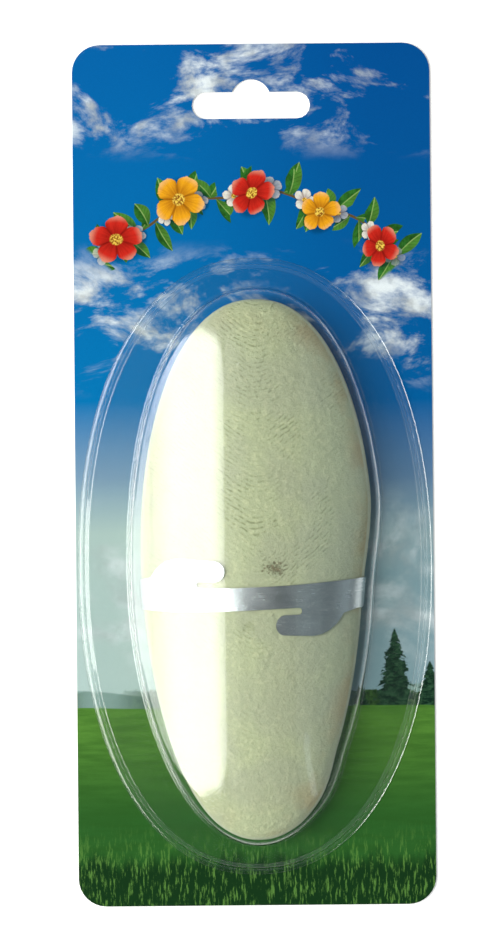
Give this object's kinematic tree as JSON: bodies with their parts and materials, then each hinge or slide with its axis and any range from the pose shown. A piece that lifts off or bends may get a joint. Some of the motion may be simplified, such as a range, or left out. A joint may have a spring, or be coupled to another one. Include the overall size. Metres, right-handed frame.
{
  "type": "cuttlebone with cage clip in a blister card pack",
  "caption": "Oval cuttlebone held by a thin metal cage clip, sealed under a clear moulded cover on a printed card with a hang slot.",
  "frame": {"origin": "centre of the card's back face, which is the centre of the box's bottom", "axes": "+Y along the card towards its hang slot, +X across it, +Z out of its front through the bone and the cover"},
  "size_m": [0.0966, 0.2326, 0.0211],
  "materials": {
    "printed_card": "gloss print on the front, plain grey board on the back",
    "clear_cover": "clear, thin and glossy",
    "bone": "chalky cream, with fine growth lines",
    "bright_strip": "lightly brushed"
  },
  "bodies": {
    "root": {"backing_card": "printed_card", "blister": "clear_cover", "cuttlebone": "bone", "clip": "bright_strip"}
  },
  "joints": []
}
